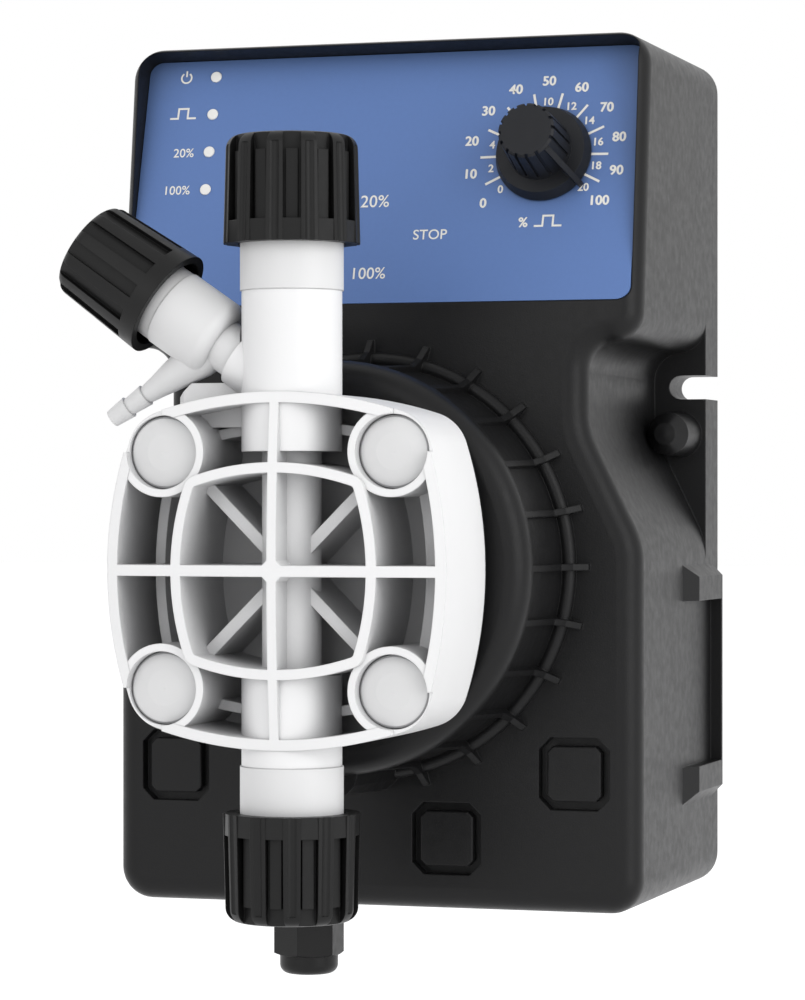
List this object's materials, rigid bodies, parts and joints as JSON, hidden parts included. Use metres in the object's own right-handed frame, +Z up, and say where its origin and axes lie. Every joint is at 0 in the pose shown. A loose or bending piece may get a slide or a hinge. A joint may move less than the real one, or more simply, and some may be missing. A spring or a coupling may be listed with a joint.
{
  "type": "diaphragm metering pump",
  "caption": "Wall-mounted solenoid metering pump: waisted case with tilted control panel and speed dial, ribbed diaphragm head, ball valves, bleed tap, hose nuts and cable gland.",
  "frame": {"origin": "on the wall face, midway between the two mounting slots", "axes": "+X to the pump's right seen from the front, +Y back into the wall, +Z up"},
  "size_m": [0.1412, 0.1608, 0.2375],
  "materials": {
    "black_case": "moulded black plastic with a fine texture",
    "black_nuts": "semi-matt black plastic",
    "white_plastic": "smooth white plastic",
    "blue_panel": "matt printed front panel",
    "light_caps": "pale translucent light caps",
    "rubber_black": "black rubber",
    "diaphragm_face": "pale flexible diaphragm",
    "steel": "machined steel",
    "stainless": "stainless steel",
    "copper_coil": "enamelled copper winding",
    "bronze": "sintered bronze",
    "bobbin_plastic": "natural nylon",
    "board_green": "green board",
    "ceramic": "ceramic ball",
    "clear_seat": "hard natural plastic"
  },
  "bodies": {
    "pump": {"front_housing": "black_case", "rear_cover": "black_case", "case_seal": "rubber_black", "cover_screws": "stainless", "control_panel": "blue_panel", "indicator_lights": "light_caps", "circuit_board": "board_green", "board_screws": "stainless", "speed_potentiometer": "steel", "selector_switch": "black_nuts", "blanking_plugs": "black_case", "gland_body": "black_nuts", "gland_locknut": "black_nuts", "gland_nut": "black_nuts", "gland_seal": "rubber_black", "pump_head": "white_plastic", "head_backplate": "black_case", "diaphragm": "diaphragm_face", "head_screws": "stainless", "screw_caps": "white_plastic", "pole_plate": "steel", "rod_bushing": "bronze", "solenoid_yoke": "steel", "coil_bobbin": "bobbin_plastic", "solenoid_coil": "copper_coil", "return_spring": "stainless", "rear_bumper": "rubber_black", "bleed_valve_body": "white_plastic", "discharge_valve_body": "white_plastic", "discharge_valve_seat": "clear_seat", "discharge_valve_seal": "rubber_black", "discharge_nozzle": "white_plastic", "suction_valve_body": "white_plastic", "suction_valve_seat": "clear_seat", "suction_valve_seal": "rubber_black", "suction_nozzle": "white_plastic"},
    "speed_dial": {"speed_knob": "black_nuts", "potentiometer_shaft": "steel"},
    "selector": {"selector_rocker": "black_nuts"},
    "plunger": {"armature": "steel", "push_rod": "stainless", "diaphragm_insert": "stainless"},
    "discharge_ball": {"discharge_valve_ball": "ceramic"},
    "suction_ball": {"suction_valve_ball": "ceramic"},
    "bleed_seal": {"bleed_spindle_seal": "rubber_black"},
    "bleed_tap": {"bleed_knob": "black_nuts", "bleed_spindle": "white_plastic"},
    "discharge_clamp": {"discharge_clamp_ring": "white_plastic"},
    "discharge_cap": {"discharge_nut": "black_nuts"},
    "suction_clamp": {"suction_clamp_ring": "white_plastic"},
    "suction_cap": {"suction_nut": "black_nuts"}
  },
  "joints": [
    {"name": "speed_knob_turn", "type": "hinge", "parent": "pump", "child": "speed_dial", "pos_m": [0.0412, -0.0754, 0.05562], "axis": [0, -0.9659, 0.2588], "range_deg": [0, 260]},
    {"name": "selector_rock", "type": "hinge", "parent": "pump", "child": "selector", "pos_m": [-0.0225, -0.08067, 0.03591], "axis": [1, 0, 0], "range_deg": [-10, 10]},
    {"name": "plunger_stroke", "type": "slide", "parent": "pump", "child": "plunger", "axis": [0, -1, 0], "range_m": [0, 0.00125], "stiffness_N_per_m": 2000, "springref_m": -0.002, "deforming": ["return_spring", "diaphragm"]},
    {"name": "discharge_ball_lift", "type": "slide", "parent": "pump", "child": "discharge_ball", "axis": [0, 0, 1], "range_m": [0, 0.0015]},
    {"name": "suction_ball_lift", "type": "slide", "parent": "pump", "child": "suction_ball", "axis": [0, 0, 1], "range_m": [0, 0.0015]},
    {"name": "bleed_tap_travel", "type": "slide", "parent": "pump", "child": "bleed_seal", "axis": [-0.8251, 0, 0.565], "range_m": [0, 0.00199]},
    {"name": "bleed_tap_turn", "type": "hinge", "parent": "bleed_seal", "child": "bleed_tap", "pos_m": [-0.03713, -0.1449, 0.02082], "axis": [-0.8251, 0, 0.565], "range_deg": [0, 360]},
    {"name": "discharge_nut_travel", "type": "slide", "parent": "pump", "child": "discharge_clamp", "axis": [0, 0, 1], "range_m": [0, 0.0036]},
    {"name": "discharge_nut_turn", "type": "hinge", "parent": "discharge_clamp", "child": "discharge_cap", "pos_m": [0, -0.1449, 0.03905], "axis": [0, 0, 1], "range_deg": [0, 720]},
    {"name": "suction_nut_travel", "type": "slide", "parent": "pump", "child": "suction_clamp", "axis": [0, 0, -1], "range_m": [0, 0.0036]},
    {"name": "suction_nut_turn", "type": "hinge", "parent": "suction_clamp", "child": "suction_cap", "pos_m": [0, -0.1449, -0.1107], "axis": [0, 0, -1], "range_deg": [0, 720]}
  ],
  "couplings": [
    {"joint": "bleed_tap_turn", "follows": "bleed_tap_travel", "rad_per_m": 3141.6},
    {"joint": "discharge_nut_turn", "follows": "discharge_nut_travel", "rad_per_m": 3463.7},
    {"joint": "suction_nut_turn", "follows": "suction_nut_travel", "rad_per_m": 3463.7}
  ]
}
